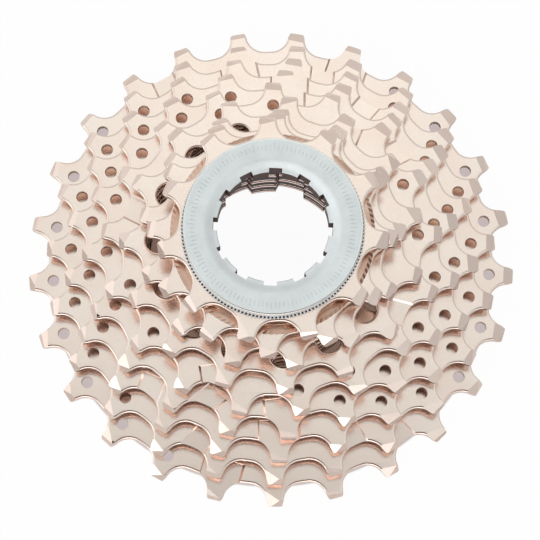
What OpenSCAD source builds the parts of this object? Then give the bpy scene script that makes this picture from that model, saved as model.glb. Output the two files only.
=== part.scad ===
// Nine-sprocket bicycle cassette: toothed sprockets and spacers stacked on one splined axis,
// the five largest riveted together, the rest loose, all held down by a threaded lockring.
// The origin is on the axis at the back face of the largest sprocket, and +Z points outboard.

/* [Chain] */
// Pitch of the chain that the teeth carry
chain_pitch = 12.7; // [12.5:0.1:12.9]
// Radius of the round seat that each chain roller rests in
seat_r = 3.9; // [3.8:0.05:4.1]
// How far that seat spreads to each side of the middle of a tooth gap
seat_spread = 0.7; // [0.4:0.05:0.8]

/* [Teeth] */
// Height of the tooth tips above the pitch circle
tip_rise = 0.65; // [0.4:0.05:0.9]
// Width of the flat tip of a tooth
tip_land = 2.9; // [2.4:0.1:3.3]
// How far the bevel on a tooth's outer face reaches in from the tip
bevel_reach = 1.6; // [0.8:0.1:2.2]
// How deep that bevel cuts into the thickness at the tip
bevel_depth = 0.75; // [0.3:0.05:1.1]

/* [Stack] */
// Thickness of every sprocket plate
sprocket_t = 1.78; // [1.6:0.02:2]
// Thickness of every spacer between two plates
spacer_t = 2.56; // [2.3:0.02:3]
// Wall of the loose spacers and of the rings between riveted plates, outside the spline
spacer_wall = 3.05; // [2:0.05:3.3]

/* [Spline] */
// Radius at the tips of the keys
key_r = 16.1; // [15.8:0.05:16.1]
// Height of the keys, from tip to root
key_h = 1.35; // [1.1:0.05:1.4]
// Width of a wide key at its tip
key_w = 5; // [4:0.1:5.4]
// Width of the one narrow key at its tip
narrow_key_w = 2.5; // [2:0.1:3.5]
// How far each key flank leans out sideways on the way to its root
key_lean = 0.8; // [0.1:0.05:1]
// How much wider the loose spacers are bored than the sprockets
spacer_slack = 0.2; // [0:0.05:0.4]

/* [Plate openings] */
// Radius of the small lightening hole under a tooth
tooth_hole_r = 1.2; // [0.8:0.05:1.3]
// Distance from the pitch circle in to the centres of those holes
tooth_hole_drop = 4.5; // [4.3:0.1:5.2]
// Radius of the round windows in the fifteen-tooth sprocket
window_r = 2.5; // [2.2:0.1:2.7]
// How much nearer the axis those windows lie than the curved slots
window_inset = 0.5; // [0:0.1:0.7]
// Radial half-width of the long curved slots in the riveted sprockets
slot_half_w = 2.1; // [1.5:0.1:2.2]
// Width of the plain spokes between those slots
spoke_w = 4.4; // [3.5:0.1:6]

/* [Rivets] */
// Radius of a rivet's shank
rivet_r = 1.6; // [1.3:0.1:1.8]
// Radius of a rivet's head
rivet_head_r = 2.6; // [2.5:0.1:2.8]
// Height of the domed end above the smallest riveted plate
rivet_head_h = 0.7; // [0.5:0.1:1]
// Gap round the shank in its holes
rivet_gap = 0.05; // [0.03:0.01:0.08]
// Gap between a rivet's head and the loose spacer beside it
rivet_clear = 0.6; // [0.3:0.1:0.7]
// Radius of the ear that each ring between riveted plates has round a rivet
ear_r = 3.3; // [3:0.1:3.4]

/* [Built-in spacers] */
// Wall of the collar on the back of the twelve-tooth sprocket, outside the spline
collar_12_wall = 2.35; // [1.5:0.05:3]
// Wall of the collar on the back of the eleven-tooth sprocket, outside the spline
collar_11_wall = 1.15; // [0.8:0.05:1.15]

/* [Lock washer] */
// Width of the serrated washer, from its hole to its rim
washer_w = 2.75; // [2.5:0.05:3]
// Thickness of the serrated washer
washer_t = 0.6; // [0.4:0.05:1]
// Gap between the washer's hole and the lockring's thread
washer_gap = 0.3; // [0.2:0.05:0.5]

/* [Lockring] */
// Wall of the hub between the lockring's thread and the tips of the keys
hub_wall = 0.8; // [0.6:0.05:1.1]
// How far the flange reaches out past the thread
flange_reach = 2.55; // [2:0.05:2.7]
// Thickness of the flange at its flat outer band
flange_t = 2; // [1.6:0.1:2.6]
// Bevel on the flange's rim
flange_bevel = 0.35; // [0.2:0.05:0.5]
// Width of the flat outer band, from the rim to the dish
band_w = 3.95; // [2.5:0.05:5]
// Depth of the dish at the tool socket
dish_depth = 0.8; // [0.4:0.1:1.2]
// Length of the threaded nose below the flange
nose_l = 5.5; // [4.5:1:7.5]
// Pitch of the thread
thread_pitch = 1; // [0.5:0.5:1]
// Wall of the nose below the tool socket, to the tips of its thread
nose_wall = 2.4; // [1.5:0.1:2.8]
// Depth of the tool socket below the flange's underside
socket_depth = 3; // [2:0.1:4]
// Radius of the tool socket between its notches
socket_r = 11.1; // [10.8:0.05:11.4]
// Depth of the socket's notches
notch_depth = 0.85; // [0.5:0.05:1.1]
// Width of a notch
notch_w = 2.6; // [2:0.1:3]
// Number of notches
notch_count = 12; // [6:1:12]

/* [Hidden] */
$fn = 96;

// Tooth counts from the back of the stack to the front
teeth = [25, 23, 21, 19, 17, 15, 13, 12, 11];
// Angle of each sprocket's first tooth, as its key slots clock it
clock = [0, 7.5, 0.5, 12.5, 7.5, 13.8, 5.8, 0.6, 29.8];
// Teeth that have no hole under them, as [first, last] runs where the shifting ramps are
bare_runs = [[[5, 9], [18, 22]], [[4, 7], [15, 19]], [[3, 6], [13, 17]], [[1, 4], [11, 14]],
             [[2, 3], [7, 8], [11, 12], [15, 16]], [[0, 3], [14, 14]]];
riveted_count = 5;
key_count = 9;
narrow_key_number = 5;
key_clock = 18.4;
spoke_count = 6;
spoke_clock = 24;
rivet_count = 3;
seat_span = 78;
over = 1;
rim_gap = 0.2;

spline_r = key_r + key_h;
spacer_r = spline_r + spacer_wall;
collar_12_r = spline_r + collar_12_wall;
collar_11_r = spline_r + collar_11_wall;
window_ring_r = spacer_r + rivet_clear + rivet_head_r;
thread_r = key_r - hub_wall;
washer_r = thread_r + washer_gap + washer_w;
flange_r = thread_r + flange_reach;
dish_r = flange_r - band_w;
nose_bore_r = thread_r - nose_wall;
notch_r = socket_r + notch_depth;
level = sprocket_t + spacer_t;
front = 8 * level + sprocket_t;
slot_in = window_ring_r - slot_half_w;
slot_out = window_ring_r + slot_half_w;
rivet_hole_r = rivet_r + rivet_gap;
countersink = rivet_head_r - rivet_r;
thread_depth = 0.55 * thread_pitch;
metal = "#d9cfc6";
dark = "#4a3f39";
steel = "#a9b0b6";

function pitch_r(n) = chain_pitch / 2 / sin(180 / n);
function tip_r(n) = pitch_r(n) + tip_rise;
function plate_z(i) = i * level;
function polar(r, a) = [r * cos(a), r * sin(a)];
function in_run(k, run) = k >= run[0] && k <= run[1];
function bare(i, k) = len([for (run = bare_runs[i]) if (in_run(k, run)) 1]) > 0;

// ---- shared outlines ----

// The space between two teeth: a widened roller seat that flares out to the tooth tips
module tooth_gap(n) {
    half = 180 / n - asin(tip_land / 2 / tip_r(n));
    lip = [pitch_r(n) - seat_r * cos(seat_span), seat_spread + seat_r * sin(seat_span)];
    flank = polar(tip_r(n), half) - lip;
    inner = lip - flank / 2;
    outer = lip + flank * 1.5;
    rim = tip_r(n) + over;
    for (side = [-1, 1]) translate([pitch_r(n), side * seat_spread]) circle(r = seat_r);
    polygon([[inner.x, -inner.y], [outer.x, -outer.y], [rim, -outer.y], [rim, outer.y], outer, inner]);
}

module toothed_outline(n) {
    difference() {
        circle(r = tip_r(n));
        for (k = [0 : n - 1]) rotate((k + 0.5) * 360 / n) tooth_gap(n);
    }
}

// One key along +X, wider at its root than at its tip
module key_outline(w) {
    tip = sqrt(key_r * key_r - w * w / 4);
    lean = key_lean / key_h;
    inner = w / 2 - lean * over;
    outer = w / 2 + lean * (key_h + over);
    polygon([[tip - over, -inner], [tip + key_h + over, -outer],
             [tip + key_h + over, outer], [tip - over, inner]]);
}

// The splined bore: a round hole that the keys reach into
module spline_outline(slack = 0) {
    circle(r = key_r + slack);
    difference() {
        circle(r = spline_r + slack);
        for (k = [0 : key_count - 1]) {
            rotate(key_clock + k * 360 / key_count)
                key_outline(k == narrow_key_number ? narrow_key_w : key_w);
        }
    }
}

module rivet_places() {
    for (k = [0 : rivet_count - 1]) rotate(spoke_clock + k * 360 / rivet_count)
        translate([window_ring_r, 0]) children();
}

// Long curved slots, with a spoke left at each of six places
module slots_outline() {
    difference() {
        circle(r = slot_out);
        circle(r = slot_in);
        for (k = [0 : spoke_count - 1]) rotate(spoke_clock + k * 360 / spoke_count)
            translate([slot_in - over, -spoke_w / 2]) square([2 * (slot_half_w + over), spoke_w]);
        rivet_places() circle(r = ear_r);
    }
}

// A disc that clears the plate all round but for the cone that bevels its outboard rim
module bevelled_blank(n) {
    r = tip_r(n);
    slope = bevel_depth / bevel_reach;
    top = sprocket_t + over;
    rotate_extrude() polygon([[0, -over], [r + rim_gap, -over],
                              [r + rim_gap, sprocket_t - bevel_depth - rim_gap * slope],
                              [r - bevel_reach - over / slope, top], [0, top]]);
}

module toothed_plate(i) {
    n = teeth[i];
    intersection() {
        linear_extrude(sprocket_t) difference() {
            rotate(clock[i]) toothed_outline(n);
            spline_outline();
            children();
        }
        bevelled_blank(n);
    }
}

// Small holes under the teeth of one riveted sprocket
module tooth_holes(i) {
    n = teeth[i];
    for (k = [0 : n - 1]) if (!bare(i, k)) rotate(clock[i] + k * 360 / n)
        translate([pitch_r(n) - tooth_hole_drop, 0]) circle(r = tooth_hole_r, $fn = 32);
}

module splined_ring(r, t, slack = 0) {
    linear_extrude(t) difference() {
        circle(r = r);
        spline_outline(slack);
    }
}

// ---- riveted cluster ----

module riveted_sprocket(i) {
    color(metal) translate([0, 0, plate_z(i)]) difference() {
        toothed_plate(i) {
            tooth_holes(i);
            slots_outline();
            rivet_places() circle(r = rivet_hole_r, $fn = 32);
        }
        if (i == 0) rivet_places() countersunk_seat();
    }
}

// Cone in the back face that the rivet's flush head sits in
module countersunk_seat() {
    r = rivet_head_r + rivet_gap;
    translate([0, 0, -countersink]) cylinder(r1 = r + countersink, r2 = r, h = countersink, $fn = 32);
    cylinder(r1 = r, r2 = r - countersink, h = countersink, $fn = 32);
}

// Ring between two riveted sprockets, with an ear round each rivet
module riveted_ring(i) {
    color(dark) translate([0, 0, plate_z(i) + sprocket_t]) linear_extrude(spacer_t) difference() {
        union() {
            circle(r = spacer_r);
            rivet_places() circle(r = ear_r);
            for (k = [0 : rivet_count - 1]) rotate(spoke_clock + k * 360 / rivet_count)
                translate([spacer_r - over, -ear_r]) square([window_ring_r - spacer_r + over, 2 * ear_r]);
        }
        spline_outline();
        rivet_places() circle(r = rivet_hole_r, $fn = 32);
    }
}

// One rivet: flush head in the largest sprocket, shank, and a flat formed end at the front
module rivet(k) {
    top = plate_z(riveted_count - 1) + sprocket_t;
    head = rivet_head_r;
    color(steel) rotate(spoke_clock + k * 360 / rivet_count) translate([window_ring_r, 0, 0])
        rotate_extrude($fn = 32) polygon([
            [0, 0], [head, 0], [rivet_r, countersink], [rivet_r, top],
            [head, top], [head, top + rivet_head_h / 2], [head * 0.75, top + rivet_head_h],
            [0, top + rivet_head_h]]);
}

// ---- loose pieces ----

module spacer(i) {
    color(dark) translate([0, 0, plate_z(i) + sprocket_t]) splined_ring(spacer_r, spacer_t, spacer_slack);
}

module sprocket_15t() {
    i = 5;
    color(metal) translate([0, 0, plate_z(i)]) toothed_plate(i)
        for (k = [0 : teeth[i] - 1]) if (!bare(i, k)) rotate(clock[i] + k * 360 / teeth[i])
            translate([window_ring_r - window_inset, 0]) circle(r = window_r, $fn = 48);
}

module sprocket_13t() {
    color(metal) translate([0, 0, plate_z(6)]) toothed_plate(6);
}

// A sprocket whose back carries its own spacer as a collar
module collared_sprocket(i, collar_r) {
    color(metal) translate([0, 0, plate_z(i)]) {
        toothed_plate(i);
        translate([0, 0, -spacer_t]) splined_ring(collar_r, spacer_t);
    }
}

module lock_washer() {
    color(steel) translate([0, 0, front]) linear_extrude(washer_t) difference() {
        circle(r = washer_r);
        circle(r = thread_r + washer_gap);
    }
}

// Socket for the lockring tool: a round hole with notches all round
module socket_outline() {
    circle(r = socket_r);
    intersection() {
        circle(r = notch_r);
        for (k = [0 : notch_count - 1]) rotate(k * 360 / notch_count)
            translate([0, -notch_w / 2]) square([notch_r + over, notch_w]);
    }
}

// Flange, threaded nose with its thread as closed rings, and dished top
module lockring() {
    turns = floor((nose_l - thread_pitch) / thread_pitch);
    core = socket_r - over;
    crest = thread_pitch / 2;
    thread = [for (k = [0 : turns - 1]) each [
        [thread_r, -crest - k * thread_pitch],
        [thread_r - thread_depth, -crest * 2 - k * thread_pitch]]];
    color(steel) translate([0, 0, front + washer_t]) difference() {
        rotate_extrude() polygon(concat(
            [[core, -socket_depth], [core, flange_t - dish_depth], [socket_r, flange_t - dish_depth],
             [dish_r, flange_t], [flange_r - flange_bevel, flange_t],
             [flange_r, flange_t - flange_bevel], [flange_r, 0], [thread_r, 0]],
            thread,
            [[thread_r, -crest - turns * thread_pitch], [thread_r, -nose_l + crest],
             [thread_r - crest, -nose_l], [nose_bore_r, -nose_l], [nose_bore_r, -socket_depth]]));
        translate([0, 0, -socket_depth - over]) linear_extrude(socket_depth + flange_t + 2 * over)
            socket_outline();
    }
}

riveted_sprocket(0);  // sprocket_25t
riveted_sprocket(1);  // sprocket_23t
riveted_sprocket(2);  // sprocket_21t
riveted_sprocket(3);  // sprocket_19t
riveted_sprocket(4);  // sprocket_17t
riveted_ring(0);  // ring_25_23
riveted_ring(1);  // ring_23_21
riveted_ring(2);  // ring_21_19
riveted_ring(3);  // ring_19_17
rivet(0);  // rivet_a
rivet(1);  // rivet_b
rivet(2);  // rivet_c
spacer(4);  // spacer_17_15
sprocket_15t();
spacer(5);  // spacer_15_13
sprocket_13t();
collared_sprocket(7, collar_12_r);  // sprocket_12t
collared_sprocket(8, collar_11_r);  // sprocket_11t
lock_washer();
lockring();
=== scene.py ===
from math import asin, atan2, cos, degrees, pi, radians, sin, sqrt, tan

import bmesh
import bpy
from mathutils import Euler, Matrix, Vector


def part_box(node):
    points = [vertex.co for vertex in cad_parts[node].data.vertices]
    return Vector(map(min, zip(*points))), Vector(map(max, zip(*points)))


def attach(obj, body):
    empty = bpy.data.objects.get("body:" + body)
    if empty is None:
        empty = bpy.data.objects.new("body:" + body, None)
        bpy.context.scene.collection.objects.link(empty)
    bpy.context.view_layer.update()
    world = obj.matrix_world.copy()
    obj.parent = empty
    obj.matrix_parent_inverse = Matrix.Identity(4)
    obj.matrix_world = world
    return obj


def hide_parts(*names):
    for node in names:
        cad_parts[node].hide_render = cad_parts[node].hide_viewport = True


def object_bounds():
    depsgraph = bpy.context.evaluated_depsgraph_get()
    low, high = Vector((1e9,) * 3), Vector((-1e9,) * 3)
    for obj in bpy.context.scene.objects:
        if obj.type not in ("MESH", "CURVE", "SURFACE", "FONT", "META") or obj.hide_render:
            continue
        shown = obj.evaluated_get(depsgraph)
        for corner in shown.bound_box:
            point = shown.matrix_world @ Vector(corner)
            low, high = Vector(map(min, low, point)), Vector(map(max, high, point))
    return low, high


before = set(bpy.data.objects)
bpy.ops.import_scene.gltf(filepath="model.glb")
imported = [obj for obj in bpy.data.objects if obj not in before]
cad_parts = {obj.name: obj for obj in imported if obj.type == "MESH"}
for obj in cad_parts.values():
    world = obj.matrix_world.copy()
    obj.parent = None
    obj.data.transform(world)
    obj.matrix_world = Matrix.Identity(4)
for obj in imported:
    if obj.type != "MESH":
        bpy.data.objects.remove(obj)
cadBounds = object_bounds()
mm = 0.001
scene = bpy.context.scene


def say(text):
    print("stage:", text, flush=True)


def deselectAll():
    if bpy.context.mode != "OBJECT":
        bpy.ops.object.mode_set(mode="OBJECT")
    bpy.ops.object.select_all(action="DESELECT")


def activate(obj):
    deselectAll()
    obj.select_set(True)
    bpy.context.view_layer.objects.active = obj


def openMesh(obj):
    activate(obj)
    bpy.ops.object.mode_set(mode="EDIT")
    bpy.ops.mesh.select_mode(type="VERT")


def pick(test):  # selects the vertices that pass the test, and only those
    data = bpy.context.edit_object.data
    bm = bmesh.from_edit_mesh(data)
    for part in (bm.verts, bm.edges, bm.faces):
        for x in part:
            x.select_set(False)
    chosen = [v for v in bm.verts if test(v.co)]
    for v in chosen:
        v.select_set(True)
    bm.select_flush(True)
    bmesh.update_edit_mesh(data)


def pickAll():
    bpy.ops.mesh.select_all(action="SELECT")


def polar(r, deg, z=0.0):
    return Vector((r * cos(radians(deg)), r * sin(radians(deg)), z))


def offAngle(v, deg):  # how far round from an angle a point lies, in degrees
    return abs((degrees(atan2(v.y, v.x)) - deg + 180) % 360 - 180)


def newObject(name):  # the active object, renamed, with its place put into its mesh
    obj = bpy.context.object
    obj.name = obj.data.name = name
    bpy.ops.object.transform_apply(location=True, rotation=True, scale=True)
    return obj


def copyTo(obj, name, move):
    activate(obj)
    bpy.ops.object.duplicate(linked=False)
    bpy.ops.transform.translate(value=move)
    return newObject(name)


def circle(r, place=(0, 0, 0), count=32, turn=0.0):
    bpy.ops.mesh.primitive_circle_add(vertices=count, radius=r, location=place, rotation=(0, 0, radians(turn)))


def scaleRound(s):  # in or out from the axis
    bpy.ops.transform.resize(value=(s, s, 1), center_override=(0, 0, 0))


def turnRound(deg):
    bpy.ops.transform.rotate(value=-radians(deg), orient_axis="Z", center_override=(0, 0, 0))


def mergeClose(obj, near=0.002 * mm):
    openMesh(obj)
    pickAll()
    bpy.ops.mesh.remove_doubles(threshold=near)
    bpy.ops.mesh.normals_make_consistent(inside=False)
    deselectAll()


def boolean(obj, tool, operation="DIFFERENCE"):
    activate(obj)
    m = obj.modifiers.new("cut", "BOOLEAN")
    m.operation, m.object, m.solver = operation, tool, "MANIFOLD"
    bpy.ops.object.modifier_apply(modifier=m.name)
    bpy.data.objects.remove(tool, do_unlink=True)


def finish(obj, body, node, material, angle):
    activate(obj)
    if angle:  # an angle of 0 keeps the shading that the piece already has
        bpy.ops.object.shade_smooth_by_angle(angle=radians(angle))
    m = obj.modifiers.new("flatFaces", "WEIGHTED_NORMAL")
    m.keep_sharp, m.weight = True, 80
    bpy.ops.object.modifier_apply(modifier=m.name)
    obj.data.materials.clear()
    obj.data.materials.append(material)
    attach(obj, body)
    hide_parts(node)
    print("  ", obj.name, len(obj.data.vertices), "vertices", flush=True)


def secondMaterial(obj, material, test):  # on the faces that pass the test
    obj.data.materials.append(material)
    openMesh(obj)
    bpy.ops.mesh.select_mode(type="FACE")
    for face in bmesh.from_edit_mesh(obj.data).faces:
        face.select_set(test(face))
    bmesh.update_edit_mesh(obj.data)
    obj.active_material_index = len(obj.data.materials) - 1
    bpy.ops.object.material_slot_assign()
    deselectAll()


view = {
    "elevation": 78.36,  # degrees above the horizon
    "distance": 525.0,  # mm from the axis
    "roll": 2.71,  # degrees
    "lens": 164.7,
    "aim": (-0.19, -0.93, 0.0),  # mm
}


def makeCamera():
    data = bpy.data.cameras.new("camera")
    cam = bpy.data.objects.new("camera", data)
    scene.collection.objects.link(cam)
    e, r = radians(view["elevation"]), radians(view["roll"])
    place = Vector((0, -cos(e), sin(e))) * view["distance"] * mm
    back = (place - Vector(view["aim"]) * mm).normalized()
    right = Vector((1, 0, 0))
    up = back.cross(right).normalized()
    right = up.cross(back)
    x = right * cos(r) + up * sin(r)
    y = back.cross(x)
    cam.matrix_world = Matrix.Translation(place) @ Matrix((x, y, back)).transposed().to_4x4()
    data.lens, data.sensor_width = view["lens"], 36.0
    data.clip_start, data.clip_end = 0.05, 20.0
    scene.camera = cam


makeCamera()
say("camera")


def colour(hexText):  # sRGB hex to linear
    parts = [int(hexText[i:i + 2], 16) / 255 for i in (1, 3, 5)]
    return tuple(p / 12.92 if p <= 0.04045 else ((p + 0.055) / 1.055) ** 2.4 for p in parts) + (1.0,)


# a link is a fixed value, a node's first output or one of its sockets, and the stops are a colour ramp's two
def addNode(tree, kind, settings=None, links=None, stops=()):
    n = tree.nodes.new(kind)
    for key, value in (settings or {}).items():
        setattr(n, key, value)
    for key, value in (links or {}).items():
        if isinstance(value, bpy.types.Node):
            value = value.outputs[0]
        if isinstance(value, bpy.types.NodeSocket):
            tree.links.new(value, n.inputs[key])
        else:
            n.inputs[key].default_value = value
    for k, (position, hexText) in enumerate(stops):
        n.color_ramp.elements[k].position, n.color_ramp.elements[k].color = position, colour(hexText)
    return n


def newMaterial(name):
    mat = bpy.data.materials.new(name)
    mat.use_nodes = True
    mat.node_tree.nodes.clear()
    return mat, mat.node_tree, addNode(mat.node_tree, "ShaderNodeTexCoord").outputs["Object"]


def waveRound(tree, place, count):  # a wave round the axis, with so many crests in one turn
    xyz = addNode(tree, "ShaderNodeSeparateXYZ", {}, {0: place})
    angle = addNode(tree, "ShaderNodeMath", {"operation": "ARCTAN2"}, {0: xyz.outputs["Y"], 1: xyz.outputs["X"]})
    turns = addNode(tree, "ShaderNodeMath", {"operation": "MULTIPLY"}, {0: angle, 1: float(count)})
    return addNode(tree, "ShaderNodeMath", {"operation": "COSINE"}, {0: turns})


# Nickel-plated steel: stamped plate, tumbled and then plated, so the sheen is warm and satin with a fine grain
nickel = {
    "colour": "#f3ded3", "light": "#f6e5db",
    "rough": 0.19,
    "grain": 0.45,  # mm, as coarse as it needs to be to show
    "cloud": 9.0,  # mm
}


def makeNickel(name, base, light, rough):
    mat, tree, place = newMaterial(name)
    fine = addNode(tree, "ShaderNodeTexNoise", {}, {
        "Vector": place, "Scale": 1 / (nickel["grain"] * mm), "Detail": 3.0, "Roughness": 0.6})
    cloud = addNode(tree, "ShaderNodeTexNoise", {}, {
        "Vector": place, "Scale": 1 / (nickel["cloud"] * mm), "Detail": 2.0, "Roughness": 0.5})
    tint = addNode(tree, "ShaderNodeValToRGB", {}, {0: cloud}, [(0.35, base), (0.7, light)])
    gloss = addNode(tree, "ShaderNodeMapRange", {}, {
        "Value": fine, "From Min": 0.3, "From Max": 0.7, "To Min": rough - 0.02, "To Max": rough + 0.03})
    bump = addNode(tree, "ShaderNodeBump", {}, {"Height": fine, "Strength": 0.025, "Distance": 0.02 * mm})
    shader = addNode(tree, "ShaderNodeBsdfPrincipled", {}, {
        "Base Color": tint, "Roughness": gloss, "Normal": bump, "Metallic": 1.0})
    addNode(tree, "ShaderNodeOutputMaterial", {}, {"Surface": shader})
    return mat


# Zinc-plated steel: turned, then plated with a blue passivation, so it is matte, cool and slightly mottled
zinc = {
    "colour": "#e1e6e7", "light": "#eef3f4",
    "rough": 0.5,
    "grain": 0.35,  # mm
    "cloud": 5.0,  # mm
    # the dark brown painted into the serrations' bottoms as their shade
    "grooveShade": "#4a342d",
}


def makeZinc(name, grooves=0):
    mat, tree, place = newMaterial(name)
    fine = addNode(tree, "ShaderNodeTexNoise", {}, {
        "Vector": place, "Scale": 1 / (zinc["grain"] * mm), "Detail": 3.0, "Roughness": 0.65})
    cloud = addNode(tree, "ShaderNodeTexNoise", {}, {
        "Vector": place, "Scale": 1 / (zinc["cloud"] * mm), "Detail": 3.0, "Roughness": 0.6})
    tint = addNode(tree, "ShaderNodeValToRGB", {}, {0: cloud}, [(0.3, zinc["colour"]), (0.7, zinc["light"])])
    if grooves:  # the bottoms of the serrations, which lie at even angles round the axis, are painted dark as shade
        dark = addNode(tree, "ShaderNodeMapRange", {}, {
            "Value": waveRound(tree, place, grooves), "From Min": 0.35, "From Max": -0.35})
        tint = addNode(tree, "ShaderNodeMix", {"data_type": "RGBA"}, {
            0: dark, 6: tint, 7: colour(zinc["grooveShade"])}).outputs[2]
    gloss = addNode(tree, "ShaderNodeMapRange", {}, {
        "Value": fine, "From Min": 0.3, "From Max": 0.7,
        "To Min": zinc["rough"] - 0.06, "To Max": zinc["rough"] + 0.08})
    bump = addNode(tree, "ShaderNodeBump", {}, {"Height": fine, "Strength": 0.18, "Distance": 0.02 * mm})
    shader = addNode(tree, "ShaderNodeBsdfPrincipled", {}, {
        "Base Color": tint, "Roughness": gloss, "Normal": bump, "Metallic": 0.7})
    addNode(tree, "ShaderNodeOutputMaterial", {}, {"Surface": shader})
    return mat


# Filled resin: moulded in dark brown-grey, so it is dull with a faint grain
resin = {
    "colour": "#2a0e09", "light": "#451d15",
    "rough": 0.5, "gloss": 0.2,
    "grain": 0.6,  # mm
}


def makeResin(name, base, light):
    mat, tree, place = newMaterial(name)
    fine = addNode(tree, "ShaderNodeTexNoise", {}, {
        "Vector": place, "Scale": 1 / (resin["grain"] * mm), "Detail": 3.0, "Roughness": 0.6})
    tint = addNode(tree, "ShaderNodeValToRGB", {}, {0: fine}, [(0.35, base), (0.65, light)])
    gloss = addNode(tree, "ShaderNodeMapRange", {}, {
        "Value": fine, "To Min": resin["rough"] - 0.08, "To Max": resin["rough"] + 0.12})
    bump = addNode(tree, "ShaderNodeBump", {}, {"Height": fine, "Strength": 0.2, "Distance": 0.03 * mm})
    shader = addNode(tree, "ShaderNodeBsdfPrincipled", {}, {
        "Base Color": tint, "Roughness": gloss, "Normal": bump, "Specular IOR Level": resin["gloss"]})
    addNode(tree, "ShaderNodeOutputMaterial", {}, {"Surface": shader})
    return mat


nickelPlatedSteel = makeNickel("nickelPlatedSteel", nickel["colour"], nickel["light"], nickel["rough"])
# pressed ribs, browner than the plates: the brown is painted shade, as they lie deep in the gaps of the smallest
# sprocket
knurlPaintedShade = makeNickel("knurlPaintedShade", "#c29a86", "#e6c9b6", 0.22)
# cold-headed steel, greyer and duller than the plates
rivetSteel = makeNickel("rivetSteel", "#bdb4ad", "#cfc7c0", 0.34)
zincPlatedSteel = makeZinc("zincPlatedSteel")
# the washer's zinc, with painted shade in the bottoms of its serrations
zincPaintedGrooveShade = makeZinc("zincPaintedGrooveShade", 150)
# the lockring's rim, glossier than the rest and lighter, the lighter colour being a painted highlight along its edge
rimPaintedHighlight = makeNickel("rimPaintedHighlight", "#eceeec", "#f6f7f5", 0.2)
# the lockring's socket wall, painted dark brown and dull as the shade deep in the bore
socketPaintedShade = makeResin("socketPaintedShade", "#3c231c", "#5b392e")
filledResin = makeResin("filledResin", resin["colour"], resin["light"])
say("materials")


# mm, with degrees for the clocks and for half of each key
plate = {
    "thick": 1.78, "apart": 4.34,  # and the spacing of the stack
    "chainPitch": 12.7,
    "seatR": 3.9, "seatSpread": 0.7,  # roller seat, and how far it is widened to each side
    "seatEnd": 100,  # degrees from the tip's side to where its arc ends, in steps of ten
    "tipRise": 0.65,
    "tipLand": 2.9,
    "tipSoft": 0.25,  # rounding of the tip's corners
    "rollWide": 0.5, "rollHigh": 0.2,  # how a punched edge rolls over
    "keyR": 16.1, "splineR": 17.45, "keyClock": 18.4, "wideKey": 9.01, "narrowKey": 5.01,
    "keys": 9, "narrowAt": 5,  # which of them is the narrow one
    "holeR": 1.25, "holeDrop": 4.5,  # how far inside the pitch circle
    "windowR": 2.5, "windowRing": 23.2,
    "ringR": 23.7, "slotHalf": 2.1, "spokeClock": 24.0, "bossHalf": 2.7, "spokeHalf": 4.3,
    "rivetHole": 1.65,
    "sinkWide": 2.75, "sinkNarrow": 1.6, "sinkDeep": 1.15, "sinkUp": 0.475,  # countersinks in the largest's back
    "smooth": 35,  # degrees
}


# Punched steel: the shear leaves a burnished band half way up the wall of a bore,
# and above and below it torn steel, painted near-black brown as the shade inside the bore
punched = {
    "tornShade": "#2b0f0a", "tornShadeLight": "#4a1c15", "tornRough": 0.45, "tornGloss": 0.08,
    "grain": 0.6,  # mm
    "band": "#ffd6cc", "bandRough": (0.2, 0.3),
    "bandRise": (0.24, 0.36), "bandFall": (0.76, 0.64),  # where it starts and ends, as shares of the thickness
}


def makePunched(name, bottom):
    mat, tree, place = newMaterial(name)
    fine = addNode(tree, "ShaderNodeTexNoise", {}, {
        "Vector": place, "Scale": 1 / (punched["grain"] * mm), "Detail": 3.0, "Roughness": 0.6})
    # the torn steel's near-black brown is painted shade of the bore
    tint = addNode(tree, "ShaderNodeValToRGB", {}, {0: fine}, [(0.35, punched["tornShade"]), (0.65, punched["tornShadeLight"])])
    bump = addNode(tree, "ShaderNodeBump", {}, {"Height": fine, "Strength": 0.2, "Distance": 0.03 * mm})
    tornShade = addNode(tree, "ShaderNodeBsdfPrincipled", {}, {
        "Base Color": tint, "Normal": bump,
        "Roughness": punched["tornRough"], "Specular IOR Level": punched["tornGloss"]})
    low, high = punched["bandRough"]
    gloss = addNode(tree, "ShaderNodeMapRange", {}, {"Value": fine, "To Min": low, "To Max": high})
    band = addNode(tree, "ShaderNodeBsdfPrincipled", {}, {
        "Base Color": colour(punched["band"]), "Roughness": gloss, "Metallic": 1.0})
    # every plate lies one spacing above the last, so the height in its own plate is what is left over
    xyz = addNode(tree, "ShaderNodeSeparateXYZ", {}, {0: place})
    above = addNode(tree, "ShaderNodeMath", {"operation": "SUBTRACT"}, {0: xyz.outputs["Z"], 1: bottom})
    height = addNode(tree, "ShaderNodeMath", {"operation": "FLOORED_MODULO"}, {0: above, 1: plate["apart"] * mm})
    rise, fall = [addNode(tree, "ShaderNodeMapRange", {}, {
        "Value": height, "From Min": start * plate["thick"] * mm, "From Max": full * plate["thick"] * mm})
        for start, full in (punched["bandRise"], punched["bandFall"])]
    share = addNode(tree, "ShaderNodeMath", {"operation": "MULTIPLY"}, {0: rise, 1: fall})
    mix = addNode(tree, "ShaderNodeMixShader", {}, {0: share, 1: tornShade, 2: band})
    addNode(tree, "ShaderNodeOutputMaterial", {}, {"Surface": mix})
    return mat


punchedPaintedShade = makePunched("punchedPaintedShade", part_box("sprocket_25t")[1].z - plate["thick"] * mm)


def pitchRadius(n):
    return plate["chainPitch"] / 2 / sin(pi / n)


def tipRadius(n):
    return pitchRadius(n) + plate["tipRise"]


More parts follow.
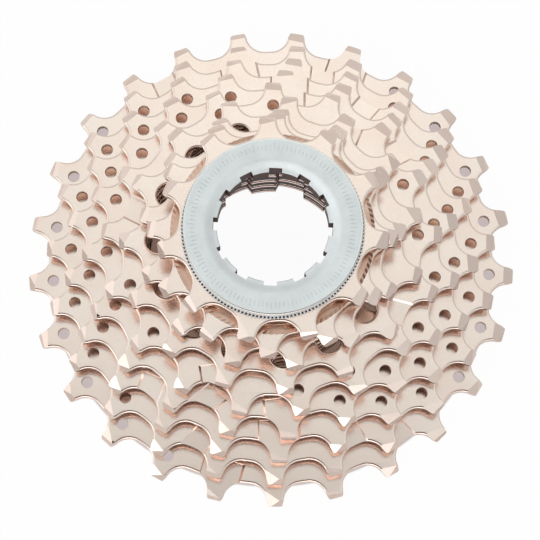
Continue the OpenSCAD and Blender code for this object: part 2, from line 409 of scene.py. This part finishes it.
def toothLoop(n, first):  # the outline of n teeth: one roller seat, spun round and joined at the tips
    r, seat, c, end = pitchRadius(n) * mm, plate["seatR"] * mm, plate["tipSoft"] * mm, plate["seatEnd"]
    half = 180 / n - degrees(asin(plate["tipLand"] / 2 / tipRadius(n)))
    corner = polar(tipRadius(n) * mm, half)
    nextCorner = polar(tipRadius(n) * mm, 360 / n - half)
    circle(seat, (r, 0, 0), 36)
    pick(lambda v: v.x - r > seat * cos(radians(end - 5)))
    bpy.ops.mesh.delete(type="VERT")
    spread = plate["seatSpread"] * mm
    for side in (1, -1):
        pick(lambda v: v.y * side > 0.05 * mm)
        bpy.ops.transform.translate(value=(0, side * spread, 0))
    lip = Vector((r + seat * cos(radians(end)), seat * sin(radians(end)) + spread, 0))
    down = (lip - corner).normalized()
    along = (nextCorner - corner).normalized()
    path = [corner + down * c, corner + (down + along) * c * 0.3, corner + along * c]
    for side in (1, -1):
        at = Vector((lip.x, lip.y * side, 0))
        pick(lambda v: (v - at).length < 0.05 * mm)
        for p in path:
            to = Vector((p.x, p.y * side, 0))
            bpy.ops.mesh.extrude_vertices_move(TRANSFORM_OT_translate={"value": to - at})
            at = to
        if side == 1:
            bpy.ops.mesh.extrude_vertices_move(TRANSFORM_OT_translate={"value": nextCorner - along * c - at})
    pickAll()
    bpy.ops.mesh.spin(steps=n - 1, dupli=True, angle=2 * pi * (n - 1) / n, center=(0, 0, 0), axis=(0, 0, 1))
    pickAll()
    bpy.ops.mesh.remove_doubles(threshold=0.01 * mm)
    pickAll()
    turnRound(first + 180 / n)


def splineLoop(slack=0.0):  # a fine circle whose stretches between the keys are pushed out
    keyR, splineR = plate["keyR"] + slack, plate["splineR"] + slack
    circle(keyR * mm, count=180, turn=(plate["keyClock"] + 1) % 2)
    keys = []
    for k in range(plate["keys"]):
        half = plate["narrowKey"] if k == plate["narrowAt"] else plate["wideKey"]
        keys.append((plate["keyClock"] + 360 / plate["keys"] * k, half))
    pick(lambda v: v.length < (keyR + 0.1) * mm and all(offAngle(v, a) > half for a, half in keys))
    scaleRound(splineR / keyR)


def slotLoops():  # six long curved slots between the spokes, shorter where a rivet's boss is
    ring, half = plate["ringR"] * mm, plate["slotHalf"] * mm
    boss = degrees(2 * asin(plate["bossHalf"] / plate["ringR"]))
    plain = degrees(asin(plate["spokeHalf"] / plate["ringR"]))
    for k in range(6):
        a = plate["spokeClock"] + 60 * k + (boss if k % 2 == 0 else plain)
        b = plate["spokeClock"] + 60 * (k + 1) - (plain if k % 2 == 0 else boss)
        for end, sign in ((a, -1), (b, 1)):
            centre = polar(ring, end)
            circle(half, centre, 20, end)
            ahead = polar(1, end + 90) * sign
            pick(lambda v: (v - centre).length < half * 1.02 and (v - centre).dot(ahead) < -half * 0.1)
            bpy.ops.mesh.delete(type="VERT")
        ends = [polar(ring + s * half, a) for s in (-1, 1)]
        pick(lambda v: min((v - p).length for p in ends) < 0.05 * mm)
        bpy.ops.mesh.spin(steps=18, dupli=False, angle=-radians(b - a), center=(0, 0, 0), axis=(0, 0, 1))
        pickAll()
        bpy.ops.mesh.remove_doubles(threshold=0.01 * mm)


def startOutline(name):
    deselectAll()
    circle(1 * mm)
    obj = newObject(name)
    bpy.ops.object.mode_set(mode="EDIT")
    pickAll()
    bpy.ops.mesh.delete(type="VERT")
    return obj


def fillPlate(name, low, high, soft, steps, rollHigh=None):  # from outlines to a closed plate with rounded edges
    bpy.ops.object.mode_set(mode="OBJECT")
    bpy.ops.object.convert(target="CURVE")
    c = bpy.context.object.data
    half = (high - low) / 2
    c.dimensions, c.fill_mode = "2D", "BOTH"
    c.extrude = half - soft * mm
    c.bevel_depth, c.bevel_resolution, c.offset = soft * mm, steps, -soft * mm
    bpy.ops.object.convert(target="MESH")
    obj = bpy.context.object
    if rollHigh:  # the rounding is flattened, so that it is wider than it is high
        openMesh(obj)
        levels = sorted({round(v.co.z / mm, 4) for v in bmesh.from_edit_mesh(obj.data).verts if v.co.z > 0})
        for level in levels:  # from the wall up, the shift grows smaller, so no level meets the next
            share = (level * mm - (half - soft * mm)) / (soft * mm)
            to = half - rollHigh * mm * (1 - share)
            for side in (1, -1):
                pick(lambda v: abs(v.z * side - level * mm) < 0.001 * mm)
                bpy.ops.transform.translate(value=(0, 0, side * (to - level * mm)))
        activate(obj)
    obj.location.z = (low + high) / 2
    obj = newObject(name)
    mergeClose(obj, 0.004 * mm)
    return obj


def splinedRing(name, r, low, high, soft, slack=0.0):
    startOutline(name)
    circle(r * mm, count=144)
    splineLoop(slack)
    return fillPlate(name, low, high, soft, 2)


def openCutter(made):  # the first solid of a cutting tool becomes an object, and the next ones join its open mesh
    if made is None:
        made = newObject("cutter")
        bpy.ops.object.mode_set(mode="EDIT")
    return made


def addBlock(made, place, turn, size):
    if made is None:
        deselectAll()
    bpy.ops.mesh.primitive_cube_add(size=1, location=place, rotation=turn, scale=size)
    return openCutter(made)


bevels = {
    "block": (7.0, 8.0, 3.0), "blockBack": 1.5,  # mm: along the radius, across and up, and how far back over the pivot
    "reach": 1.4, "reachVaries": 0.3, "reachEast": 0.75, "eastAt": 15.0,  # mm, and degrees
    "drop": 0.54, "dropVaries": 0.12,  # mm
    "twist": 7.0, "lean": 30.0, "leanFrom": 160.0,  # degrees; the bevels of the teeth past leanFrom lean over
    "smallTwists": (16, -14, 6),  # degrees more on the small sprockets, in turn
    "tipReach": 0.42, "tipTilt": 44.0, "tipTiltSouth": 5.0, "tipTwist": 10.0,  # the small chamfer at the very tip
    "backReach": 1.0, "backDrop": 0.35, "backTwist": -12.0,  # the same on the back
}


def tipCutters(n, first, face, side, cuts):  # blocks that plane one face of the teeth down towards their tips
    made = None
    size = Vector(bevels["block"]) * mm
    for k in range(n):
        a = first + 360 * k / n
        reach, drop, twist, sink = cuts(k)
        turn = Euler((0, side * atan2(drop, reach), radians(a + twist)))
        pivot = polar((tipRadius(n) - reach) * mm, a, face - side * sink * mm)
        centre = pivot + turn.to_matrix() @ Vector((size.x / 2 - bevels["blockBack"] * mm, 0, side * size.z / 2))
        made = addBlock(made, centre, turn, size)
    deselectAll()
    return made


def isBare(k, bare):
    return any(a <= k <= b for a, b in bare)


def holeCutters(n, first, bare, low, high):
    made = None
    deselectAll()
    for k in range(n):
        if not isBare(k, bare):
            place = polar((pitchRadius(n) - plate["holeDrop"]) * mm, first + 360 * k / n, (low + high) / 2)
            bpy.ops.mesh.primitive_cylinder_add(
                vertices=24, radius=plate["holeR"] * mm, depth=3.0 * mm, location=place)
            made = openCutter(made)
    deselectAll()
    return made


ramps = {
    "depth": 0.42, "depthSouth": 0.2,  # mm
    "slope": 1.0, "slopeSouth": 2.0, "slopeEnd": 0.3,  # how far the sides and the inner end lean out for their height
    "reach": 9.6,  # mm along the radius
    "drop": 3.2,  # mm that its middle lies inside the pitch circle
    "fall": 0.2,  # degrees that a ramp's floor falls towards the rim
    "rise": 0.7,  # degrees that it rises from one end to the other
    "high": 2.0,  # mm, of the stamp
    "south": 0.2,  # the ramps whose sine lies below this are the southern ones
    "near": 0.36, "sink": 0.85,  # the bevels this near, in teeth, are sunk by this share of the ramp's depth
}


def rampDepth(a):  # and the slope of its sides
    if sin(radians(a)) > ramps["south"]:
        return ramps["depth"], ramps["slope"]
    return ramps["depthSouth"], ramps["slopeSouth"]


def rampCutter(n, first, face, at, width, skew):  # a flat stamp with sloping sides, pressed into the face over the rim
    a = first + 360 * at / n
    rise = ramps["rise"] if skew > 0 else -ramps["rise"]
    turn = Euler((radians(rise), radians(ramps["fall"]), radians(a + skew)))
    high = ramps["high"] * mm
    depth, slope = rampDepth(a)
    middle = polar((pitchRadius(n) - ramps["drop"]) * mm, a, face)
    centre = middle + turn.to_matrix() @ Vector((0, 0, high / 2 - depth * mm))
    made = addBlock(None, centre, turn, Vector((ramps["reach"] * mm, width * mm, high)))
    across = turn.to_matrix() @ Vector((0, 1, 0))
    inward = turn.to_matrix() @ Vector((-1, 0, 0))
    for way, lean in ((across, slope), (-across, slope), (inward, ramps["slopeEnd"])):
        pick(lambda v: v.z > face + 0.5 * mm and (v - centre).dot(way) > 0)
        bpy.ops.transform.translate(value=way * high * lean)
    deselectAll()
    return made


def outboardCut(n, first, sunk):  # each tooth's bevel is a little different, as a shifting sprocket's are
    b = bevels

    def cuts(k):
        a = first + 360 * k / n
        twist = b["twist"] * sin(k * 1.9 + n) - b["lean"] * max(0.0, sin(radians(a - b["leanFrom"]))) ** 0.5
        if n <= 15:
            twist += b["smallTwists"][k % 3]
        onRamp = any(abs(k - at) < ramps["near"] for at in sunk)
        sink = ramps["sink"] * rampDepth(a)[0] if onRamp else 0.0
        east = max(0.0, cos(radians(a - b["eastAt"])))
        reach = b["reach"] + b["reachVaries"] * sin(k * 2.4 + n) + b["reachEast"] * east
        drop = b["drop"] * reach / b["reach"] + b["dropVaries"] * sin(k * 2.9 + 0.4 * n)
        return reach, drop, twist, sink
    return cuts


def tipCut(n, first):  # steeper on the south
    b = bevels

    def cuts(k):
        tilt = b["tipTilt"] + b["tipTiltSouth"] * max(0.0, -sin(radians(first + 360 * k / n)))
        return b["tipReach"], b["tipReach"] * tan(radians(tilt)), b["tipTwist"] * (1 if k % 2 else -1), b["drop"]
    return cuts


def backCut(k):
    return bevels["backReach"], bevels["backDrop"], bevels["backTwist"], 0.0


def ribbedRing(name, ring, low, top):  # a thin ring whose top is ribbed by lowering every other line of its rim
    deselectAll()
    outer, count = ring["outer"], ring["ribs"]
    circle(outer * mm, (0, 0, top), 2 * count)
    obj = newObject(name)
    openMesh(obj)
    pickAll()
    for r0, r1 in ((outer, outer - ring["ribL"]), (outer - ring["ribL"], ring["inner"])):
        bpy.ops.mesh.extrude_edges_move()
        scaleRound(r1 / r0)
    pickAll()
    bpy.ops.mesh.extrude_region_move(TRANSFORM_OT_translate={"value": (0, 0, low - top)})

    def oddRim(v):
        odd = round((degrees(atan2(v.y, v.x)) % 360) * count / 180) % 2 == 1
        return odd and v.xy.length > (outer - 0.3) * mm
    pick(lambda v: oddRim(v) and v.z > (low + top) / 2)
    bpy.ops.transform.translate(value=(0, 0, -ring["ribDepth"] * mm))
    if ring["rimCut"]:
        pick(oddRim)
        scaleRound((outer - ring["rimCut"]) / outer)
    if ring["slant"]:
        pick(lambda v: v.xy.length < (outer - 0.5) * mm)
        turnRound(ring["slant"])
    mergeClose(obj)
    return obj


# the spacers that the two smallest sprockets carry on their backs, in mm
collars = {
    "r": {12: 19.8, 11: 18.6}, "soft": 0.2,
    "overlap": 0.3,  # how far they and the knurl reach into their plate
}
# ribs pressed round the collar's seat, in mm, with degrees for the slant
knurl = {
    "inner": 18.65, "outer": 20.5, "rise": 0.17,
    "ribs": 110, "ribL": 0.7, "ribDepth": 0.2, "rimCut": 0.0, "slant": 1.6,
}

sprockets = [
    # teeth, first tooth's angle, bare runs of teeth, ramps (tooth, width in mm, skew in degrees), node, body
    (25, 0.0, [(5, 9), (18, 22)], [(5.0, 8.0, 2), (8.5, 4.5, -5), (18.0, 8.0, -3), (21.5, 4.5, 8)],
     "sprocket_25t", "cluster"),
    (23, 7.5, [(4, 7), (15, 19)], [(6.05, 7.4, 2), (4.5, 4.5, 8), (15.5, 4.5, -20), (18.5, 4.5, 6)],
     "sprocket_23t", "cluster"),
    (21, 0.5, [(3, 6), (13, 17)], [(5.05, 7.4, 3), (3.5, 4.5, -8), (13.5, 4.5, 20), (16.0, 8.0, -2)],
     "sprocket_21t", "cluster"),
    (19, 12.5, [(1, 4), (11, 14)], [(4.0, 8.0, 3), (1.5, 4.5, -10), (12.45, 4.5, -25), (14.0, 8.0, 3)],
     "sprocket_19t", "cluster"),
    (17, 7.5, [(2, 3), (7, 8), (11, 12), (15, 16)],
     [(2.5, 4.5, 10), (7.5, 4.5, -10), (11.5, 4.5, 30), (15.5, 4.5, 12)],
     "sprocket_17t", "cluster"),
    (15, 13.8, [(0, 3), (14, 14)], [], "sprocket_15t", "sprocket_15t"),
    (13, 5.8, [], [], "sprocket_13t", "sprocket_13t"),
    (12, 0.6, [], [], "sprocket_12t", "sprocket_12t"),
    (11, 29.8, [], [], "sprocket_11t", "sprocket_11t"),
]


def rivetPlace(k, z=0.0):
    return polar(plate["ringR"] * mm, plate["spokeClock"] + 120 * k, z)


def makeSprocket(n, first, bare, ramped, node, body):
    low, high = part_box(node)[0].z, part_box(node)[1].z
    back = low
    if n in collars["r"]:
        low = high - plate["thick"] * mm
    startOutline(node + "_plate")
    toothLoop(n, first)
    splineLoop()
    if n >= 17:
        slotLoops()
        for k in range(3):
            circle(plate["rivetHole"] * mm, rivetPlace(k), 24)
    if n == 15:
        for k in range(n):
            if not isBare(k, bare):
                circle(plate["windowR"] * mm, polar(plate["windowRing"] * mm, first + 360 * k / n), 40)
    obj = fillPlate(node + "_plate", low, high, plate["rollWide"], 6, plate["rollHigh"])
    activate(obj)
    bpy.ops.object.shade_smooth_by_angle(angle=radians(plate["smooth"]))
    if n >= 17:
        boolean(obj, holeCutters(n, first, bare, low, high))
    for at, width, skew in ramped:
        boolean(obj, rampCutter(n, first, high, at, width, skew))
    boolean(obj, tipCutters(n, first, high, 1, outboardCut(n, first, [row[0] for row in ramped])))
    boolean(obj, tipCutters(n, first, high, 1, tipCut(n, first)))
    boolean(obj, tipCutters(n, first, low, -1, backCut))
    if n == 25:
        for k in range(3):
            deselectAll()
            bpy.ops.mesh.primitive_cone_add(
                vertices=32, radius1=plate["sinkWide"] * mm, radius2=plate["sinkNarrow"] * mm,
                depth=plate["sinkDeep"] * mm, location=rivetPlace(k, low + plate["sinkUp"] * mm))
            boolean(obj, newObject("countersink"))
    overlap = collars["overlap"] * mm
    if n in collars["r"]:
        boolean(obj, splinedRing("collar", collars["r"][n], back, low + overlap, collars["soft"]), "UNION")
    if n == 12:
        boolean(obj, ribbedRing("knurl", knurl, high - overlap, high + knurl["rise"] * mm), "UNION")
    finish(obj, body, node, nickelPlatedSteel, 0)

    def isBoreWall(face):
        return face.calc_center_median().xy.length < (plate["splineR"] + 0.15) * mm and abs(face.normal.z) < 0.8
    # the bore's wall is painted dark as shade, save for its burnished band
    secondMaterial(obj, punchedPaintedShade, isBoreWall)
    if n == 12:
        # the knurl's top takes the brown of painted shade
        secondMaterial(obj, knurlPaintedShade, lambda face: face.calc_center_median().z > high + 0.005 * mm)


for row in sprockets:
    makeSprocket(*row)
say("sprockets")


# mm
stack = {
    "spacerR": 20.5, "soft": 0.25,
    "recess": 0.15,  # how far a ring's bore stands back from the plates' bores
    "earR": 3.3, "earIn": 4.6,
    "shank": 1.6, "head": 2.6, "headLip": 0.08, "headDeep": 1.0, "dome": 0.7,
    # shares of the head's radius, and mm up
    "domeShape": [(0.94, 0.0), (1, 0.12), (0.96, 0.3), (0.8, 0.5), (0.5, 0.64), (0.2, 0.69)],
}


def modelRing(name, low, high, eared):
    obj = splinedRing(name, stack["spacerR"], low, high, stack["soft"], stack["recess"])
    if eared:
        for k in range(3):
            startOutline("ear")
            place = rivetPlace(k)
            out = place.normalized()
            circle(stack["earR"] * mm, place, 40, plate["spokeClock"] + 120 * k)
            pick(lambda v: (v - place).dot(out) < -stack["earR"] * mm * 0.05)
            bpy.ops.mesh.delete(type="VERT")
            pick(lambda v: abs((v - place).dot(out)) < 0.05 * mm)
            bpy.ops.mesh.extrude_vertices_move(TRANSFORM_OT_translate={"value": out * -stack["earIn"] * mm})
            bpy.ops.mesh.edge_face_add()
            circle(plate["rivetHole"] * mm, place, 24)
            boolean(obj, fillPlate("ear", low, high, stack["soft"], 2), "UNION")
    return obj


def makeRings(rows, eared):  # one is modelled and the others are its copies
    low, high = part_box(rows[0][0])[0].z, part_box(rows[0][0])[1].z
    objs = [modelRing(rows[0][0] + "_moulded", low, high, eared)]
    for node, body in rows[1:]:
        objs.append(copyTo(objs[0], node + "_moulded", (0, 0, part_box(node)[0].z - low)))
    for obj, (node, body) in zip(objs, rows):
        finish(obj, body, node, filledResin, 24)


def makeRivets(nodes):
    low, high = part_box(nodes[0])[0].z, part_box(nodes[0])[1].z
    head, shank = stack["head"], stack["shank"]
    top = (high - low) / mm - stack["dome"]
    deselectAll()
    circle(head * mm, (0, 0, low), 32)
    obj = newObject(nodes[0] + "_formed")
    openMesh(obj)
    pickAll()
    bpy.ops.mesh.edge_face_add()
    r = head
    dome = [(head * share, top + up) for share, up in stack["domeShape"]]
    for newR, z in [(head, stack["headLip"]), (shank, stack["headDeep"]), (shank, top)] + dome:
        bpy.ops.mesh.extrude_region_move()
        scaleRound(newR / r)
        now = max(v.co.z for v in bmesh.from_edit_mesh(obj.data).verts if v.select)
        bpy.ops.transform.translate(value=(0, 0, low + z * mm - now))
        r = newR
    pickAll()
    bpy.ops.transform.translate(value=rivetPlace(0))
    mergeClose(obj)
    objs = [obj]
    for k in (1, 2):
        objs.append(copyTo(obj, nodes[k] + "_formed", rivetPlace(k) - rivetPlace(0)))
    for obj, node in zip(objs, nodes):
        finish(obj, "cluster", node, rivetSteel, 30)


makeRings([(node, "cluster") for node in ("ring_25_23", "ring_23_21", "ring_21_19", "ring_19_17")], True)
makeRings([(node, node) for node in ("spacer_17_15", "spacer_15_13")], False)
makeRivets(("rivet_a", "rivet_b", "rivet_c"))
say("rings, spacers and rivets")


# mm, with degrees for the slant
washer = {
    "inner": 15.6, "outer": 18.35,
    "ribs": 150, "ribL": 0.7, "ribDepth": 0.5, "rimCut": 0.3, "slant": 0.0,
    "gap": 0.03,  # keeps the ribs clear of the lockring's flange
}


def makeWasher():
    low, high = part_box("lock_washer")[0].z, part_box("lock_washer")[1].z
    obj = ribbedRing("lock_washer_serrated", washer, low, high - washer["gap"] * mm)
    # the serrations' bottoms carry painted shade
    finish(obj, "lock_washer", "lock_washer", zincPaintedGrooveShade, 20)


# mm
lockring = {
    "flangeR": 17.85, "flangeT": 2.0, "rimSoft": 0.35, "backEdge": 0.15,
    "dishR": 13.9, "dishDepth": 0.8,
    "threadR": 15.3, "threadDepth": 0.55, "threadPitch": 1.0, "threadFlat": 0.1,
    "noseL": 5.5, "noseBoreR": 12.9, "noseEdge": 0.5,
    "socketR": 11.1, "socketDepth": 3.0, "socketEdge": 0.12,
    "notches": 12, "notchR": 11.95, "notchW": 2.6, "notchIn": 3.0, "notchHigh": 12.0,
    "ticks": 120, "tickR": (15.35, 16.35), "longTickR": 16.75, "tickW": 0.2, "tickDepth": 0.14,
}


def lockringProfile(top):  # half of its section, as radius and height in mm, from the bottom of the socket round
    g = lockring
    base = top - g["flangeT"]
    dish = top - g["dishDepth"]
    inner, outer, back = g["socketR"] + g["socketEdge"], g["dishR"], g["backEdge"]
    socketLow, noseLow = base - g["socketDepth"], base - g["noseL"]
    profile = [(g["socketR"], socketLow), (g["socketR"], dish - g["socketEdge"]), (inner, dish)]
    for k in range(1, 8):  # the dish rises in a soft curve to the flat band
        t = k / 8
        profile.append((inner + (outer - inner) * t, dish + g["dishDepth"] * t * t * (3 - 2 * t)))
    f, s = g["flangeR"], g["rimSoft"]
    profile += [(outer, top), (f - s, top), (f - s * 0.5, top - s * 0.13), (f - s * 0.13, top - s * 0.5), (f, top - s),
                (f, base + back), (f - back, base), (g["threadR"], base)]
    pitch = g["threadPitch"]
    z = base - pitch / 2
    while z > noseLow + pitch:
        profile += [(g["threadR"], z), (g["threadR"], z - g["threadFlat"]),
                    (g["threadR"] - g["threadDepth"], z - pitch / 2)]
        z -= pitch
    profile += [(g["threadR"], z), (g["threadR"] - g["noseEdge"], noseLow),
                (g["noseBoreR"], noseLow), (g["noseBoreR"], socketLow)]
    return profile


def makeLockring():
    g = lockring
    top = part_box("lockring")[1].z / mm
    base = top - g["flangeT"]
    profile = [Vector((r, 0, z)) * mm for r, z in lockringProfile(top)]
    obj = startOutline("lockring_turned")
    at = profile[0]
    bpy.ops.mesh.primitive_circle_add(vertices=3, radius=0.01 * mm, location=at)
    bpy.ops.mesh.merge(type="CENTER")
    pickAll()
    for to in profile[1:] + profile[:1]:
        bpy.ops.mesh.extrude_vertices_move(TRANSFORM_OT_translate={"value": to - at})
        at = to
    pickAll()
    bpy.ops.mesh.remove_doubles(threshold=0.005 * mm)
    pickAll()
    bpy.ops.mesh.spin(steps=240, dupli=False, angle=2 * pi, center=(0, 0, 0), axis=(0, 0, 1))
    mergeClose(obj, 0.005 * mm)
    made = None
    reach = sqrt(g["notchR"] ** 2 - (g["notchW"] / 2) ** 2)
    for k in range(g["notches"]):
        a = 360 * k / g["notches"]
        place = polar((reach - g["notchIn"] / 2) * mm, a, (base - 0.5) * mm)
        size = Vector((g["notchIn"], g["notchW"], g["notchHigh"])) * mm
        made = addBlock(made, place, (0, 0, radians(a)), size)
    deselectAll()
    boolean(obj, made)
    made = None
    for k in range(g["ticks"]):
        a = 360 * (k + 0.5) / g["ticks"]
        inner, outer = g["tickR"]
        if k % 5 == 0:
            outer = g["longTickR"]
        place = polar((inner + outer) / 2 * mm, a, top * mm)
        size = Vector((outer - inner, g["tickW"], 2 * g["tickDepth"])) * mm
        made = addBlock(made, place, (0, 0, radians(a)), size)
    deselectAll()
    boolean(obj, made)
    finish(obj, "lockring", "lockring", zincPlatedSteel, 25)

    def isSocketWall(face):
        middle = face.calc_center_median()
        inside = middle.z < (top - g["dishDepth"]) * mm and middle.xy.length < (g["noseBoreR"] + 0.2) * mm
        return inside and abs(face.normal.z) < 0.6

    def isRim(face):
        return face.calc_center_median().xy.length > (g["flangeR"] - g["rimSoft"]) * mm and face.normal.z > 0.1
    # the socket wall is painted dark as shade
    secondMaterial(obj, socketPaintedShade, isSocketWall)
    # the rim is lighter as a painted highlight
    secondMaterial(obj, rimPaintedHighlight, isRim)


makeWasher()
makeLockring()
say("washer and lockring")


# the floor is white in the open, with a painted shadow under the plates, lobed under the largest's teeth and darker
# near the axis; the pairs are radii in mm
studio = {
    "floorSize": 6.0, "floorDrop": 0.05,  # m, mm
    "floorColour": "#f3f1ef", "floorLight": "#f7f5f3", "floorGrain": 25.0,  # mm
    "shade": "#c9bcbc", "shadeInner": (17.5, 19.5), "shadeOuter": (47.3, 46.9),
    "toothShade": 0.9,  # mm further out under each tooth of the largest
    "deepShade": "#7d6559", "deepOuter": (29.0, 27.5),
    "boreOuter": (18.0, 17.0), "boreGlow": 0.85,  # how white the floor glows in the bore's walls, a painted reflection
    "lamps": [
        # name, place in mm, width and height in mm, power in watts
        ("southLamp", (-60, -520, 560), (420, 260), 0.5),
        ("westLamp", (-560, -260, 420), (300, 300), 0.3),
    ],
}


def makeFloor():
    deselectAll()
    z = cadBounds[0].z - studio["floorDrop"] * mm
    bpy.ops.mesh.primitive_plane_add(size=studio["floorSize"], location=(0, 0, z))
    floor = newObject("floor")
    mat, tree, place = newMaterial("matteWhiteFloor")
    grain = addNode(tree, "ShaderNodeTexNoise", {}, {
        "Vector": place, "Scale": 1 / (studio["floorGrain"] * mm), "Detail": 2.0})
    tint = addNode(tree, "ShaderNodeValToRGB", {}, {0: grain}, [
        (0.3, studio["floorColour"]), (0.7, studio["floorLight"])])
    matte = addNode(tree, "ShaderNodeBsdfDiffuse", {}, {"Color": tint})
    # how far each point lies from the axis, and the same with the teeth's lobes taken off
    apart = addNode(tree, "ShaderNodeVectorMath", {"operation": "LENGTH"}, {0: place}).outputs["Value"]
    lobe = addNode(tree, "ShaderNodeMapRange", {}, {
        "Value": waveRound(tree, place, sprockets[0][0]), "From Min": 0.3, "To Max": studio["toothShade"] * mm})
    drawnIn = addNode(tree, "ShaderNodeMath", {"operation": "SUBTRACT"}, {0: apart, 1: lobe})
    edges = {}
    for name, value, most in (("shadeInner", apart, 1.0), ("shadeOuter", drawnIn, 1.0), ("deepOuter", apart, 1.0),
                              ("boreOuter", apart, studio["boreGlow"])):
        start, full = studio[name]
        edges[name] = addNode(tree, "ShaderNodeMapRange", {}, {
            "Value": value, "From Min": start * mm, "From Max": full * mm, "To Max": most})
    under = addNode(tree, "ShaderNodeMath", {"operation": "MULTIPLY"}, {0: edges["shadeInner"], 1: edges["shadeOuter"]})
    shade = addNode(tree, "ShaderNodeMix", {"data_type": "RGBA"}, {
        0: edges["deepOuter"], 6: colour(studio["shade"]), 7: colour(studio["deepShade"])}).outputs[2]
    # the glow takes the shade colours under the plates: a painted shadow
    shown = addNode(tree, "ShaderNodeMix", {"data_type": "RGBA"}, {0: under, 6: (1, 1, 1, 1), 7: shade}).outputs[2]
    glow = addNode(tree, "ShaderNodeEmission", {}, {"Color": shown, "Strength": 1.0})
    seen = addNode(tree, "ShaderNodeLightPath").outputs
    either = addNode(tree, "ShaderNodeMath", {"operation": "MAXIMUM"}, {
        0: seen["Is Camera Ray"], 1: seen["Is Transmission Ray"]})
    # the real shade keeps a small share of what is seen
    part = addNode(tree, "ShaderNodeMapRange", {}, {"Value": under, "To Min": 0.96, "To Max": 0.9})
    straight = addNode(tree, "ShaderNodeMath", {"operation": "MULTIPLY"}, {0: either, 1: part})
    # in the bore the floor also glows for mirrored rays: a painted reflection in the bore's walls
    mirrored = addNode(tree, "ShaderNodeMath", {"operation": "MULTIPLY"}, {
        0: edges["boreOuter"], 1: seen["Is Glossy Ray"]})
    share = addNode(tree, "ShaderNodeMath", {"operation": "MAXIMUM"}, {0: straight, 1: mirrored})
    mix = addNode(tree, "ShaderNodeMixShader", {}, {0: share, 1: matte, 2: glow})
    addNode(tree, "ShaderNodeOutputMaterial", {}, {"Surface": mix})
    floor.data.materials.append(mat)


sky = {
    "top": (0.85, 0.918, 0.92, 1),
    "zones": [
        # colour, and each stretch that it takes: along what, where it starts and where it is full
        ((1.205, 1.262, 1.218, 1), [("y", 0.09, 0.28)]),  # high up to the north
        ((0.865, 0.92, 0.91, 1), [("aside", 0.03, 0.12)]),  # high up, to the east and the west
        ((1.1, 1.1, 1.1, 1), [("y", -0.35, -0.6), ("x", -0.4, -0.7)]),  # low down to the south and the west
        ((0.70, 0.69, 0.68, 1), [("y", 0.3, 0.75)]),  # low down to the north
        ((0.58, 0.575, 0.57, 1), [("x", 0.4, 0.7)]),  # low down to the east
        ((0.13, 0.07, 0.05, 1), [("z", 0.2, 0.0)]),  # all round the horizon
        ((0.085, 0.026, 0.014, 1), [("toCamera", cos(radians(20.5)), cos(radians(9.0)))]),  # the camera's dark corner
    ],
}


def makeWorld():
    world = bpy.data.worlds.new("studio")
    scene.world = world
    world.use_nodes = True
    tree = world.node_tree
    tree.nodes.clear()
    way = addNode(tree, "ShaderNodeTexCoord").outputs["Generated"]
    xyz = addNode(tree, "ShaderNodeSeparateXYZ", {}, {0: way}).outputs
    e = radians(view["elevation"])
    toCamera = addNode(tree, "ShaderNodeVectorMath", {"operation": "DOT_PRODUCT"}, {0: way, 1: (0, -cos(e), sin(e))})
    along = {
        "x": xyz["X"], "y": xyz["Y"], "z": xyz["Z"], "toCamera": toCamera.outputs["Value"],
        "aside": addNode(tree, "ShaderNodeMath", {"operation": "ABSOLUTE"}, {0: xyz["X"]}),
    }
    tint = sky["top"]
    for zone, stretches in sky["zones"]:
        share = None
        for name, start, full in stretches:
            stretch = addNode(tree, "ShaderNodeMapRange", {"interpolation_type": "SMOOTHSTEP"}, {
                "Value": along[name], "From Min": start, "From Max": full})
            if share:
                share = addNode(tree, "ShaderNodeMath", {"operation": "MAXIMUM"}, {0: share, 1: stretch})
            else:
                share = stretch
        tint = addNode(tree, "ShaderNodeMix", {"data_type": "RGBA"}, {0: share, 6: tint, 7: zone}).outputs[2]
    seen = addNode(tree, "ShaderNodeLightPath").outputs["Is Camera Ray"]
    light = addNode(tree, "ShaderNodeBackground", {}, {"Color": tint, "Strength": 1.0})
    white = addNode(tree, "ShaderNodeBackground", {}, {"Color": (1, 1, 1, 1), "Strength": 1.0})
    mix = addNode(tree, "ShaderNodeMixShader", {}, {0: seen, 1: light, 2: white})
    addNode(tree, "ShaderNodeOutputWorld", {}, {"Surface": mix})


def makeLamps():
    for name, place, size, power in studio["lamps"]:
        data = bpy.data.lights.new(name, "AREA")
        data.shape, data.size, data.size_y, data.energy = "RECTANGLE", size[0] * mm, size[1] * mm, power
        lamp = bpy.data.objects.new(name, data)
        scene.collection.objects.link(lamp)
        at = Vector(place) * mm
        lamp.matrix_world = Matrix.Translation(at) @ (-at).to_track_quat("-Z", "Y").to_matrix().to_4x4()


makeFloor()
makeWorld()
makeLamps()
scene.view_settings.view_transform = "Standard"
say("studio")
